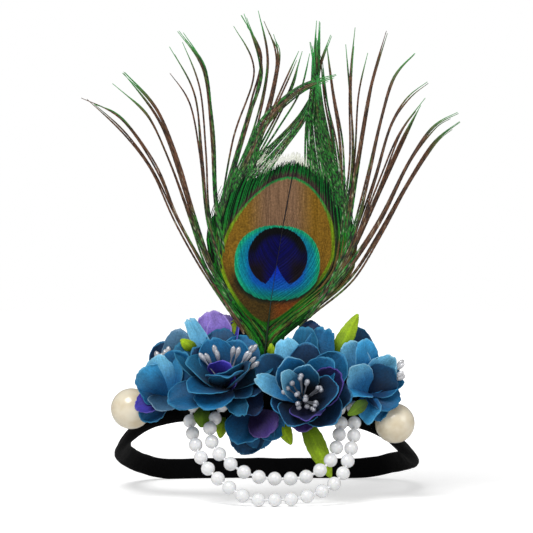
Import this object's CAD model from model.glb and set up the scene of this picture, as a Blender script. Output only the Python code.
"""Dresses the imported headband: a velvet loop with paper flowers, pearls and one peacock eye feather.

Places are in millimetres as (x, y, z): x to the viewer's right, y back from the front of the loop, z up
from the surface it stands on. at() turns them into the frame's metres, whose origin is under the middle of
the whole.
"""

from __future__ import annotations

import logging
import math
import random
from collections.abc import Callable, Sequence
from dataclasses import dataclass
from enum import Enum

import bmesh
import bpy
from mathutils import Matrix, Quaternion, Vector, noise

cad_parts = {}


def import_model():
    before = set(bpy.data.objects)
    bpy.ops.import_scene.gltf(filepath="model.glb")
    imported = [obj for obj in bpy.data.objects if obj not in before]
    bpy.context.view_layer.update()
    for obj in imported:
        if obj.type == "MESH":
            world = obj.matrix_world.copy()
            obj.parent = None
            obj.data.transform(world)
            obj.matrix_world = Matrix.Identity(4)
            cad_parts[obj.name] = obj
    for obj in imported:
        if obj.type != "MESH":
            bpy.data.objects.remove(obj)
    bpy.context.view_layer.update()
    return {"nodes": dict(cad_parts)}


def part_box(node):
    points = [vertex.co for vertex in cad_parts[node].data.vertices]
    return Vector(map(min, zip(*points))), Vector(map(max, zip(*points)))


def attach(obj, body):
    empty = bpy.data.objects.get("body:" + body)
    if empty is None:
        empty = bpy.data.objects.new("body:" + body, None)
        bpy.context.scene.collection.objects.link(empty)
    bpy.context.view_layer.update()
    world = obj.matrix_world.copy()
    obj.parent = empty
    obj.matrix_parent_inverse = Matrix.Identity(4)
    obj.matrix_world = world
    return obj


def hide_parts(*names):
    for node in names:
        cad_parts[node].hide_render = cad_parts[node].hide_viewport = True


MM = 0.001
FRONT_TO_MIDDLE = 36.4
BODY = "root"
LOG = logging.getLogger("headband")

Colour = tuple[float, float, float]
Point = tuple[float, float, float]
Surface = Callable[[float, float], Vector]


def at(x: float, y: float, z: float) -> Vector:
    """A place in millimetres from the loop's front, as one in the frame's metres."""
    return Vector((x, y - FRONT_TO_MIDDLE, z)) * MM


def dye(red: int, green: int, blue: int) -> Colour:
    """The linear colour of a dye given as on a screen, from 0 to 255."""
    shares = (part / 255 for part in (red, green, blue))
    return tuple(((share + 0.055) / 1.055) ** 2.4 if share > 0.04 else share / 12.92 for share in shares)


def blend(first: Colour, second: Colour, share: float) -> Colour:
    """The colour that lies the given share of the way from the first to the second."""
    return tuple(a + (b - a) * share for a, b in zip(first, second))


def ease(value: float, low: float, high: float) -> float:
    """A smooth rise from 0 at low to 1 at high."""
    share = min(max((value - low) / (high - low), 0.0), 1.0)
    return share * share * (3 - 2 * share)


def table_value(rows: Sequence[Sequence[float]], key: float, column: int) -> float:
    """A table's column at a key between its rows, whose first column rises.

    Args:
        rows: The table, with its keys in the first column.
        key: The place between the rows.
        column: The column that is read.

    Returns:
        The value, run on straight past the first and last rows.
    """
    pairs = list(zip(rows, rows[1:]))
    before, after = next((pair for pair in pairs if key <= pair[1][0]), pairs[-1])
    share = (key - before[0]) / (after[0] - before[0])
    return before[column] + (after[column] - before[column]) * share


def spline(points: Sequence[Vector], steps: int, closed: bool = False) -> list[Vector]:
    """Points along the smooth curve through the given ones.

    Args:
        points: The points that the curve passes through.
        steps: How many steps it takes between two of them.
        closed: Whether it runs on from the last point to the first.

    Returns:
        The curve's points.
    """
    count = len(points)
    found = []
    for i in range(count if closed else count - 1):
        if closed:
            a, b, c, d = (points[(i + k) % count] for k in (-1, 0, 1, 2))
        else:
            a, b, c, d = (points[min(max(i + k, 0), count - 1)] for k in (-1, 0, 1, 2))
        for step in range(steps):
            t = step / steps
            square = (2 * a - 5 * b + 4 * c - d) * t**2
            cube = (3 * b - a - 3 * c + d) * t**3
            found.append((2 * b + (c - a) * t + square + cube) / 2)
    return found if closed else [*found, points[-1]]


def evenly(points: Sequence[Vector], count: int, closed: bool = False) -> list[Vector]:
    """That many points at equal steps along a fine run of points.

    Args:
        points: The fine run of points.
        count: How many points it gives.
        closed: Whether it runs on from the last point to the first.

    Returns:
        The points.
    """
    run = [*points, points[0]] if closed else list(points)
    reach = [0.0]
    for before, after in zip(run, run[1:]):
        reach.append(reach[-1] + (after - before).length)
    step = reach[-1] / (count if closed else count - 1)
    found, k = [], 0
    for i in range(count):
        while k < len(run) - 2 and reach[k + 1] < i * step:
            k += 1
        share = (i * step - reach[k]) / (reach[k + 1] - reach[k])
        found.append(run[k].lerp(run[k + 1], min(share, 1.0)))
    return found


def add_grid(bm: bmesh.types.BMesh, columns: int, rows: int, place: Callable[[int, int], Vector]) -> list:
    """Adds a grid of faces and moves each corner to its place.

    Args:
        bm: The mesh that it is added to.
        columns: How many faces it has along the first number.
        rows: How many faces it has along the second.
        place: Gives the place of corner (i, j).

    Returns:
        The corners as (vertex, i, j).
    """
    made = bmesh.ops.create_grid(bm, x_segments=columns, y_segments=rows, size=1.0)["verts"]
    corners = []
    for vert in made:
        i = round((vert.co.x + 1) / 2 * columns)
        j = round((vert.co.y + 1) / 2 * rows)
        corners.append((vert, i, j))
    for vert, i, j in corners:
        vert.co = place(i, j)
    return corners


def add_tube(bm: bmesh.types.BMesh, points: Sequence[Vector], radii: Sequence[float], sides: int) -> list:
    """Adds a round tube with closed ends through points in metres.

    Args:
        bm: The mesh that it is added to.
        points: The centres of its rings.
        radii: The radius of each ring.
        sides: How many sides it has.

    Returns:
        Its vertices.
    """
    frames = []
    side = Vector((1, 0, 0))
    for i in range(len(points)):
        along = (points[min(i + 1, len(points) - 1)] - points[max(i - 1, 0)]).normalized()
        if i == 0 and abs(along.dot(side)) > 0.9:
            side = Vector((0, 0, 1))
        side = (side - along * side.dot(along)).normalized()
        frames.append((side.copy(), along.cross(side)))

    def place(i: int, j: int) -> Vector:
        """The place of one corner of the tube.

        Args:
            i: The ring.
            j: The side.

        Returns:
            The place in metres.
        """
        angle = 2 * math.pi * j / sides
        wide, thick = frames[i]
        return points[i] + (wide * math.cos(angle) + thick * math.sin(angle)) * radii[i]

    corners = add_grid(bm, len(points) - 1, sides, place)
    verts = [vert for vert, _, _ in corners]
    bmesh.ops.remove_doubles(bm, verts=verts, dist=1e-8)
    verts = [vert for vert in verts if vert.is_valid]
    rims = [edge for edge in {edge for vert in verts for edge in vert.link_edges} if edge.is_boundary]
    bmesh.ops.holes_fill(bm, edges=rims, sides=0)
    faces = list({face for vert in verts for face in vert.link_faces})
    bmesh.ops.recalc_face_normals(bm, faces=faces)
    return verts


def show(name: str, data: object) -> bpy.types.Object:
    """Links a new object for a mesh, camera or light to the scene.

    Args:
        name: The object's name.
        data: The mesh, camera or light.

    Returns:
        The object.
    """
    made = bpy.data.objects.new(name, data)
    bpy.context.scene.collection.objects.link(made)
    return made


def add_piece(
    name: str,
    bm: bmesh.types.BMesh,
    finish: bpy.types.Material,
    replaced: Sequence[str] = (),
) -> bpy.types.Object:
    """Makes a mesh a piece of the headband.

    Args:
        name: The piece's name.
        bm: Its mesh, which is freed.
        finish: Its material.
        replaced: The solids that it is shown in place of.

    Returns:
        The piece's object.
    """
    mesh = bpy.data.meshes.new(name)
    bm.to_mesh(mesh)
    bm.free()
    mesh.materials.append(finish)
    mesh.shade_smooth()
    piece = show(name, mesh)
    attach(piece, BODY)
    if replaced:
        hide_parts(*replaced)
    LOG.info("%s: %d faces", name, len(mesh.polygons))
    return piece


def add_wall(piece: bpy.types.Object, thickness: float) -> None:
    """Gives a piece of bare faces a thickness in millimetres, half to each side.

    Args:
        piece: The piece.
        thickness: The wall in millimetres.
    """
    wall = piece.modifiers.new("wall", "SOLIDIFY")
    wall.thickness = thickness * MM
    wall.offset = 0.0


class Sheets:
    """A mesh of thin paper sheets, each with its own dye, dye of the torn rim and UV map."""

    def __init__(self, columns: int, rows: int) -> None:
        """Starts an empty mesh.

        Args:
            columns: How many faces each sheet has across.
            rows: How many it has along.
        """
        self.columns = columns
        self.rows = rows
        self.bm = bmesh.new()
        layers = self.bm.verts.layers.float_color
        self.tint, self.rim = layers.new("tint"), layers.new("rim")
        self.uv = self.bm.loops.layers.uv.new("UVMap")

    def add(self, place: Surface, shade: Callable[[float, float], Colour], rim: Colour) -> None:
        """Adds one sheet.

        Args:
            place: The place of a corner in metres, from u across and v along, each from 0 to 1.
            shade: The dye there.
            rim: The dye of its rim.
        """

        def corner(i: int, j: int) -> Vector:
            """The place of one corner of the sheet."""
            return place(i / self.columns, j / self.rows)

        shares = {}
        for vert, i, j in add_grid(self.bm, self.columns, self.rows, corner):
            shares[vert] = (i / self.columns, j / self.rows)
            vert[self.tint] = (*shade(*shares[vert]), 1.0)
            vert[self.rim] = (*rim, 1.0)
        for vert, share in shares.items():
            for loop in vert.link_loops:
                loop[self.uv].uv = share


class Value:
    """A number or colour in a node tree: sums on values add the nodes that work them out."""

    def __init__(self, graph: Graph, socket: bpy.types.NodeSocket) -> None:
        """Keeps the socket that the value comes from, and the graph that its sums go to."""
        self.graph = graph
        self.socket = socket

    def math(self, operation: str, *others: object) -> Value:
        """The result of an operation on this value and others."""
        return self.graph.math(operation, self, *others)

    def __add__(self, other: object) -> Value:
        """This value and the other together."""
        return self.math("ADD", other)

    def __sub__(self, other: object) -> Value:
        """This value less the other."""
        return self.math("SUBTRACT", other)

    def __rsub__(self, other: object) -> Value:
        """The other less this value."""
        return self.graph.math("SUBTRACT", other, self)

    def __mul__(self, other: object) -> Value:
        """This value times the other."""
        return self.math("MULTIPLY", other)

    def __truediv__(self, other: object) -> Value:
        """This value divided by the other."""
        return self.math("DIVIDE", other)

    def __rtruediv__(self, other: object) -> Value:
        """The other divided by this value."""
        return self.graph.math("DIVIDE", other, self)

    def __pow__(self, other: object) -> Value:
        """This value to the power of the other."""
        return self.math("POWER", other)

    def __abs__(self) -> Value:
        """This value without its sign."""
        return self.math("ABSOLUTE")

    def rise(self, low: float, high: float) -> Value:
        """A smooth rise from 0 where this value is low to 1 where it is high."""
        inputs = {"Value": self, "From Min": low, "From Max": high}
        return self.graph.add("ShaderNodeMapRange", inputs, interpolation_type="SMOOTHSTEP")


class Graph:
    """Adds and links the nodes of one node tree."""

    def __init__(self, tree: bpy.types.NodeTree) -> None:
        """Keeps the tree that the nodes go to."""
        self.tree = tree

    def feed(self, socket: bpy.types.NodeSocket, value: object) -> None:
        """Links a value to an input, or sets a plain number, vector or colour on it.

        Args:
            socket: The input.
            value: What it is given.
        """
        if isinstance(value, Value):
            self.tree.links.new(value.socket, socket)
        else:
            socket.default_value = (*value, 1.0) if socket.type == "RGBA" else value

    def node(self, kind: str, inputs: dict | None = None, **settings: object) -> bpy.types.Node:
        """Adds one node.

        Args:
            kind: The node's type.
            inputs: Its inputs by name or number, each a value to link or a plain one.
            **settings: The node's own settings.

        Returns:
            The node.
        """
        made = self.tree.nodes.new(kind)
        for name, value in settings.items():
            setattr(made, name, value)
        for name, value in (inputs or {}).items():
            self.feed(made.inputs[name], value)
        return made

    def add(self, kind: str, inputs: dict | None = None, output: int | str = 0, **settings: object) -> Value:
        """Adds one node, as node() does, and gives one of its outputs."""
        return Value(self, self.node(kind, inputs, **settings).outputs[output])

    def math(self, operation: str, *values: object) -> Value:
        """The result of a sum on numbers or values."""
        return self.add("ShaderNodeMath", dict(enumerate(values)), operation=operation)

    def mix(self, share: object, first: object, second: object, way: str = "MIX") -> Value:
        """The mix of two colours, each a value or a colour."""
        inputs = {0: share, 6: first, 7: second}
        return self.add("ShaderNodeMix", inputs, 2, data_type="RGBA", blend_type=way)

    def dim(self, colour: object, level: Value) -> Value:
        """A colour made darker or lighter by a level."""
        grey = self.add("ShaderNodeCombineXYZ", {0: level, 1: level, 2: level})
        return self.mix(1.0, colour, grey, "MULTIPLY")

    def coordinates(self, name: str) -> Value:
        """The piece's own coordinates of that name."""
        return self.add("ShaderNodeTexCoord", None, name)

    def attribute(self, name: str) -> Value:
        """The colour that a mesh keeps under a name."""
        return self.add("ShaderNodeAttribute", None, "Color", attribute_name=name)

    def parts(self, vector: Value) -> tuple[Value, ...]:
        """The three parts of a vector."""
        return tuple(Value(self, part) for part in self.node("ShaderNodeSeparateXYZ", {0: vector}).outputs)

    def stretch(self, vector: Value, scale: Point) -> Value:
        """A vector with each part scaled."""
        return self.add("ShaderNodeMapping", {"Vector": vector, "Scale": scale})

    def grain(self, vector: Value, scale: object, detail: float = 2.0) -> Value:
        """Noise from 0 to 1 over the vector."""
        return self.add("ShaderNodeTexNoise", {"Vector": vector, "Scale": scale, "Detail": detail})

    def fibres(self, place: Value, colour: object, fineness: float, mottle: float) -> tuple[Value, ...]:
        """Lays the shared fibres and mottling over a colour.

        Args:
            place: The coordinates that they follow.
            colour: The colour below them.
            fineness: The scale of the fibres.
            mottle: How strongly they show.

        Returns:
            The colour with them, and the height of the fibres.
        """
        inputs = {"Vector": place, "Colour": colour, "Fineness": fineness, "Mottle": mottle}
        group = self.node("ShaderNodeGroup", inputs, node_tree=fibre_group())
        return tuple(Value(self, socket) for socket in group.outputs)


def fibre_group() -> bpy.types.NodeTree:
    """The node group of the fine fibres and soft mottling that paper, felt and velvet share.

    Returns:
        The group, which is made the first time.
    """
    name = "fibres"
    if name in bpy.data.node_groups:
        return bpy.data.node_groups[name]
    tree = bpy.data.node_groups.new(name, "ShaderNodeTree")
    sockets = (
        ("Vector", "INPUT", "NodeSocketVector"),
        ("Colour", "INPUT", "NodeSocketColor"),
        ("Fineness", "INPUT", "NodeSocketFloat"),
        ("Mottle", "INPUT", "NodeSocketFloat"),
        ("Colour", "OUTPUT", "NodeSocketColor"),
        ("Height", "OUTPUT", "NodeSocketFloat"),
    )
    for title, way, kind in sockets:
        tree.interface.new_socket(title, in_out=way, socket_type=kind)
    graph = Graph(tree)
    given = graph.node("NodeGroupInput").outputs
    place, colour, fineness, mottle = (Value(graph, given[i]) for i in range(4))
    fine = graph.grain(place, fineness, 5.0)
    broad = graph.grain(place, fineness * 0.12, 3.0)
    swing = (fine * 0.45 + broad * 0.55 - 0.5) * mottle
    graph.node("NodeGroupOutput", {"Colour": graph.dim(colour, swing * 4.0 + 1.0), "Height": fine})
    return tree


@dataclass(frozen=True)
class Finish:
    """A material's plain values: each finish below paints its own colour and relief."""

    name: str
    roughness: float
    specular: float = 0.4
    sheen: float = 0.0
    coat: float = 0.0
    metallic: float = 0.0
    subsurface: float = 0.0
    relief: float = 0.0
    sheen_roughness: float = 0.4
    coat_roughness: float = 0.16
    subsurface_radius: Point = (1.0, 0.8, 0.6)
    subsurface_scale: float = 0.002
    bump_strength: float = 0.7

    def paint(self, graph: Graph) -> tuple[Value, Value | None]:
        """The finish's colour, and the height of its relief if it has one."""
        raise NotImplementedError

    def build(self) -> bpy.types.Material:
        """The material, with its plain values on the shader's own sockets and its relief in millimetres.

        Returns:
            The material.
        """
        made = bpy.data.materials.new(self.name)
        made.use_nodes = True
        graph = Graph(made.node_tree)
        shader = made.node_tree.nodes["Principled BSDF"].inputs
        colour, height = self.paint(graph)
        values = {
            "Base Color": colour,
            "Roughness": self.roughness,
            "Specular IOR Level": self.specular,
            "Sheen Weight": self.sheen,
            "Sheen Roughness": self.sheen_roughness,
            "Coat Weight": self.coat,
            "Coat Roughness": self.coat_roughness,
            "Metallic": self.metallic,
            "Subsurface Weight": self.subsurface,
            "Subsurface Radius": self.subsurface_radius,
            "Subsurface Scale": self.subsurface_scale,
        }
        for name, value in values.items():
            graph.feed(shader[name], value)
        if height is not None:
            inputs = {"Height": height, "Distance": self.relief * MM, "Strength": self.bump_strength}
            graph.feed(shader["Normal"], graph.add("ShaderNodeBump", inputs))
        return made


@dataclass(frozen=True)
class Cloth(Finish):
    """Velvet or felt: one dark dye with fibres."""

    colour: Colour = (0.01, 0.01, 0.01)
    fineness: float = 1400.0
    mottle: float = 0.5
    relief: float = 0.25

    def paint(self, graph: Graph) -> tuple[Value, ...]:
        """The dye with its fibres, and their height."""
        return graph.fibres(graph.coordinates("Object"), self.colour, self.fineness, self.mottle)


@dataclass(frozen=True)
class Paper(Finish):
    """Dyed mulberry paper: the piece's tint, long fibres from foot to tip, and a torn rim of its own dye."""

    fineness: float = 1500.0
    mottle: float = 0.45
    rim_width: float = 0.055
    rim_strength: float = 0.55
    relief: float = 0.22

    def paint(self, graph: Graph) -> tuple[Value, Value]:
        """Paints from the tint and rim attributes and the UV map of the piece.

        Args:
            graph: The material's nodes.

        Returns:
            The colour, and the height of the fibres.
        """
        place, flat = graph.coordinates("Object"), graph.coordinates("UV")
        across, along, _ = graph.parts(flat)
        side = 1.0 - abs(across * 2.0 - 1.0)
        torn = graph.grain(place, self.fineness, 3.0) * 0.09 - 0.045
        edge = graph.math("MINIMUM", side, 1.0 - along) + torn
        rim = (1.0 - edge.rise(0.0, self.rim_width)) * along.rise(0.2, 0.5)
        streaks = graph.grain(graph.stretch(flat, (26.0, 3.0, 1.0)), 1.0, 4.0)
        dyed, height = graph.fibres(place, graph.attribute("tint"), self.fineness, self.mottle)
        veined = graph.dim(dyed, streaks * 0.7 + 0.65)
        colour = graph.mix(rim * self.rim_strength, veined, graph.attribute("rim"))
        return colour, height + streaks * 0.8


@dataclass(frozen=True)
class Pearl(Finish):
    """Imitation pearl: a pale lacquered ball with faint clouds."""

    colour: Colour = (0.8, 0.8, 0.8)
    cloud: Colour = (0.7, 0.7, 0.7)
    specular: float = 0.6
    coat: float = 0.8
    subsurface: float = 0.12

    def paint(self, graph: Graph) -> tuple[Value, None]:
        """Paints the clouds and specks.

        Args:
            graph: The material's nodes.

        Returns:
            The colour, and no height.
        """
        place = graph.coordinates("Object")
        clouds = graph.grain(place, 180.0, 3.0).rise(0.35, 0.75)
        specks = graph.grain(place, 1900.0, 2.0).rise(0.66, 0.74)
        return graph.mix(specks * 0.25, graph.mix(clouds, self.colour, self.cloud), self.cloud), None


@dataclass(frozen=True)
class Tinted(Finish):
    """Anything whose colour is kept on its own mesh, with a fine glitter of lighter and darker specks."""

    speckle: float = 1600.0
    depth: float = 0.5

    def paint(self, graph: Graph) -> tuple[Value, None]:
        """The colour, from the tint attribute of the piece."""
        grain = graph.grain(graph.coordinates("Object"), self.speckle, 3.0)
        return graph.dim(graph.attribute("tint"), grain * (2 * self.depth) + (1 - self.depth)), None


@dataclass(frozen=True)
class Spot:
    """What the eye is painted from: a place in the feather's plane in millimetres, and the grains there."""

    graph: Graph
    x: Value
    z: Value
    own: Value
    fleck: Value
    speck: Value
    stripe: Value
    patch: Value


@dataclass(frozen=True)
class Eye(Finish):
    """The eye of the feather, as zones round their own centres in the feather's plane, in millimetres."""

    relief: float = 0.15
    bronze_centre: tuple[float, float] = (2.2, 87.5)
    bronze_half: float = 19.5
    bronze_up: float = 28.0
    bronze_down: float = 23.6
    bronze_lean: float = 0.16
    upper_power: float = 1.8
    lower_power: float = 1.42
    ring_centre: tuple[float, float] = (2.4, 85.2)
    ring_half: tuple[float, float] = (15.4, 13.5)
    ring_power: float = 2.3
    heart_centre: tuple[float, float] = (2.6, 87.3)
    heart_half: tuple[float, float] = (10.7, 10.7)
    notch: tuple[float, float] = (2.3, 84.4)
    barb_run: tuple[float, float] = (90.0, 9.0)

    def reach(self, x: float, z: float) -> float:
        """How far out a place lies from the bronze zone's centre: 1 is on its edge.

        Args:
            x: The place's x in the feather's plane.
            z: Its height there.

        Returns:
            The reach.
        """
        rise = z - self.bronze_centre[1]
        tall, power = (self.bronze_up, self.upper_power) if rise > 0 else (self.bronze_down, self.lower_power)
        side = abs(x - self.bronze_centre[0] - rise * self.bronze_lean)
        return ((side / self.bronze_half) ** power + (abs(rise) / tall) ** power) ** (1 / power)

    def zone(self, spot: Spot) -> Value:
        """How far out the painted place lies from the bronze zone's centre, as reach() does.

        Args:
            spot: The place that is painted.

        Returns:
            The reach.
        """
        rise = spot.z - self.bronze_centre[1]
        up = rise.math("GREATER_THAN", 0.0)
        tall = up * (self.bronze_up - self.bronze_down) + self.bronze_down
        power = up * (self.upper_power - self.lower_power) + self.lower_power
        side = abs(spot.x - (rise * self.bronze_lean + self.bronze_centre[0])) / self.bronze_half
        return (side**power + (abs(rise) / tall) ** power) ** (1.0 / power)

    def oval(self, spot: Spot, centre: tuple, half: tuple, power: float) -> Value:
        """How far out the painted place lies in a squarish oval.

        Args:
            spot: The place that is painted.
            centre: The oval's centre.
            half: Its half width and half height.
            power: How square it is: 2 is round.

        Returns:
            The reach: 1 is on its edge.
        """
        side = (abs(spot.x - centre[0]) / half[0]) ** power
        height = (abs(spot.z - centre[1]) / half[1]) ** power
        return (side + height) ** (1 / power)

    def paint(self, graph: Graph) -> tuple[Value, Value]:
        """Paints from Object coordinates and the barb attribute of the piece.

        Args:
            graph: The material's nodes.

        Returns:
            The colour, and the height of its specks.
        """
        place = graph.coordinates("Object")
        x, _, z = (part / MM for part in graph.parts(place))
        own, along, _ = graph.parts(graph.attribute("barb"))
        run = graph.add("ShaderNodeCombineXYZ", {0: own * self.barb_run[0], 1: along * self.barb_run[1]})
        spot = Spot(
            graph, x, z + (own * 0.4 - 0.2), own,
            fleck=graph.grain(run, 1.0, 3.0),
            speck=graph.grain(place, 1500.0, 3.0),
            stripe=graph.grain(graph.stretch(place, (1500.0, 60.0, 60.0)), 1.0, 2.0),
            patch=graph.grain(place, 260.0, 2.0),
        )
        reach = self.zone(spot)
        colour = self.margin(spot, reach, self.outer(spot))
        colour = graph.mix(reach.rise(1.015, 0.985), colour, self.bronze(spot))
        ring = self.oval(spot, self.ring_centre, self.ring_half, self.ring_power)
        halo = ring.rise(1.16, 1.0) * spot.z.rise(86.0, 76.0)
        colour = graph.mix(halo, colour, dye(10, 26, 18))
        colour = graph.mix(ring.rise(1.012, 0.985), colour, self.turquoise(spot, ring))
        colour = self.heart(spot, colour)
        return graph.dim(colour, spot.speck * 1.3 + 0.35), spot.speck

    def outer(self, spot: Spot) -> Value:
        """The loose green outside the eye, flecked black, and tan towards the lower right margin.

        Args:
            spot: The place that is painted.

        Returns:
            The colour.
        """
        mix = spot.graph.mix
        green = mix(spot.own, dye(8, 70, 14), dye(40, 150, 40))
        green = mix(spot.fleck.rise(0.56, 0.44), green, dye(3, 16, 5))
        brown = mix(spot.fleck, dye(52, 34, 14), dye(128, 104, 58))
        tan = spot.x.rise(14.0, 24.0) * spot.z.rise(96.0, 84.0) * 0.8 + spot.patch * 0.25
        return mix((tan + spot.own).rise(0.9, 1.3), green, brown)

    def margin(self, spot: Spot, reach: Value, colour: Value) -> Value:
        """Lays the margin over the colour beyond it: pale crescent, dark fringe, plum band, lime line.

        Args:
            spot: The place that is painted.
            reach: How far out it lies.
            colour: The colour beyond.

        Returns:
            The colour.
        """
        mix, own, z = spot.graph.mix, spot.own, spot.z
        ragged = own * 0.05 + reach
        pale = ragged.rise(1.23, 1.26) * z.rise(115.0, 121.0)
        colour = mix(pale, colour, dye(220, 222, 206))
        bristle = own + (spot.fleck * 1.2 - 0.6)
        spiky = mix(bristle.rise(0.3, 0.7), dye(2, 22, 10), dye(14, 108, 40))
        colour = mix((1.0 - pale) * z.rise(92.0, 104.0), colour, spiky)
        plum = ragged.rise(1.15, 1.09) * z.rise(80.0, 100.0)
        colour = mix(plum, colour, mix(own, dye(18, 13, 17), dye(86, 64, 60)))
        top = z.rise(98.0, 110.0)
        line = (top * 0.028 + reach).rise(1.07, 1.045)
        grass = mix(own, dye(12, 104, 52), dye(46, 160, 70))
        lime = mix(own, dye(92, 120, 10), dye(128, 158, 26))
        lime = mix(z.rise(78.0, 68.0), lime, mix(own, dye(8, 70, 10), dye(38, 110, 16)))
        return mix(line, colour, mix(top, lime, grass))

    def bronze(self, spot: Spot) -> Value:
        """Bronze: pinkish above, gold at the sides, rusty below on the right and olive on the left.

        Args:
            spot: The place that is painted.

        Returns:
            The colour.
        """
        mix, speck = spot.graph.mix, spot.speck
        gold = mix(mix(0.5, speck, spot.stripe), dye(78, 54, 8), dye(158, 118, 34))
        pink = mix(spot.stripe, dye(70, 50, 34), dye(158, 122, 92))
        top = abs(spot.x - 3.5).rise(13.0, 4.0) * spot.z.rise(92.0, 99.0)
        rust = mix(speck, dye(76, 36, 8), dye(130, 70, 18))
        olive = mix(speck, dye(40, 32, 10), dye(88, 66, 24))
        low = mix(spot.x.rise(-2.0, 4.0), olive, rust)
        return mix(spot.z.rise(88.0, 76.0), mix(top, gold, pink), low)

    def turquoise(self, spot: Spot, ring: Value) -> Value:
        """The turquoise ring: royal blue inside, sea green outside, and duller below.

        Args:
            spot: The place that is painted.
            ring: How far out it lies in the ring's oval.

        Returns:
            The colour.
        """
        mix = spot.graph.mix
        sea = mix(spot.own, dye(0, 128, 92), dye(28, 176, 122))
        teal = mix(spot.own, dye(0, 108, 128), dye(6, 138, 156))
        colour = mix(ring.rise(0.98, 0.84), sea, teal)
        blue = ring.rise(0.86, 0.66) * abs(spot.x - self.ring_centre[0]).rise(13.5, 8.0)
        colour = mix(blue, colour, dye(4, 82, 170))
        low = spot.z.rise(80.0, 72.0) * ring.rise(0.6, 0.9)
        return mix(low * 0.55, colour, dye(0, 92, 92))

    def heart(self, spot: Spot, colour: Value) -> Value:
        """Lays the dark heart and its notch of bright blue over the colour below.

        Args:
            spot: The place that is painted.
            colour: The colour below.

        Returns:
            The colour.
        """
        mix, x, z = spot.graph.mix, spot.x, spot.z
        disc = self.oval(spot, self.heart_centre, self.heart_half, 2.0)
        depth = self.notch[1] - z
        open_by = depth * (depth * 0.045 + 0.3) - abs(x - self.notch[0])
        notch = open_by.rise(-0.15, 0.15) * depth.rise(0.0, 0.4)
        vivid = notch * depth.rise(9.0, 1.0) * disc.rise(1.0, 0.8)
        colour = mix(vivid, colour, dye(6, 44, 182))
        navy = mix(spot.own, dye(0, 0, 52), dye(2, 3, 92))
        lobes = mix(z.rise(90.0, 83.0), navy, dye(16, 8, 18))
        shade = mix(abs(x - self.heart_centre[0]).rise(2.0, 6.5), navy, lobes)
        crescent = disc.rise(0.6, 0.82) * z.rise(84.0, 91.0)
        inside = disc.rise(1.015, 0.985) * (1.0 - notch)
        return mix(inside, colour, mix(crescent, shade, dye(1, 2, 6)))


class Tint(Enum):
    """The dyes of a petal or leaf: at its foot, at its tip and along its torn rim."""

    SKY = (dye(34, 118, 176), dye(112, 190, 226), dye(168, 216, 236))
    AZURE = (dye(10, 92, 148), dye(52, 150, 202), dye(120, 192, 224))
    OCEAN = (dye(2, 52, 92), dye(6, 100, 150), dye(66, 160, 204))
    TEAL = (dye(2, 42, 68), dye(10, 94, 132), dye(62, 148, 186))
    DEEP = (dye(2, 30, 58), dye(6, 66, 104), dye(44, 128, 168))
    NAVY = (dye(3, 8, 34), dye(8, 36, 76), dye(40, 96, 150))
    HOLLOW = (dye(2, 10, 26), dye(8, 54, 92), dye(58, 160, 214))
    BRIGHT = (dye(2, 8, 22), dye(34, 124, 178), dye(150, 212, 238))
    BRUISE = (dye(4, 8, 34), dye(24, 28, 84), dye(104, 84, 196))
    SLATE = (dye(26, 66, 96), dye(78, 122, 154), dye(140, 174, 200))
    LILAC = (dye(98, 76, 178), dye(158, 134, 218), dye(178, 160, 224))
    VIOLET = (dye(36, 22, 110), dye(62, 54, 176), dye(120, 110, 216))
    PLUM = (dye(26, 14, 58), dye(64, 46, 116), dye(120, 100, 176))
    LIME = (dye(84, 120, 4), dye(166, 200, 20), dye(182, 212, 60))
    OLIVE = (dye(40, 70, 6), dye(100, 136, 12), dye(128, 160, 40))

    def shade(self, share: float) -> Colour:
        """The dye the given share of the way from the foot to the tip."""
        return blend(self.value[0], self.value[1], share)

    @property
    def rim(self) -> Colour:
        """The dye of the torn rim."""
        return self.value[2]


@dataclass(frozen=True)
class Petal:
    """One petal, round its flower's axis: where it points, its size, bends, dye, own turn and tip."""

    turn: float
    opening: float
    length: float
    width: float
    bend: float
    cup: float
    tint: Tint
    twist: float = 0.0
    point: float = 0.45


@dataclass(frozen=True)
class Stamen:
    """One stamen: the way it points round its flower's axis, and its length."""

    turn: float
    opening: float
    length: float


@dataclass(frozen=True)
class Keepout:
    """A ball that nothing else may enter."""

    centre: Vector
    radius: float

    def clear(self, place: Vector) -> Vector:
        """The place, moved straight out of the ball if it lies in it."""
        away = place - self.centre
        return place if away.length >= self.radius else self.centre + away.normalized() * self.radius


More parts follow.
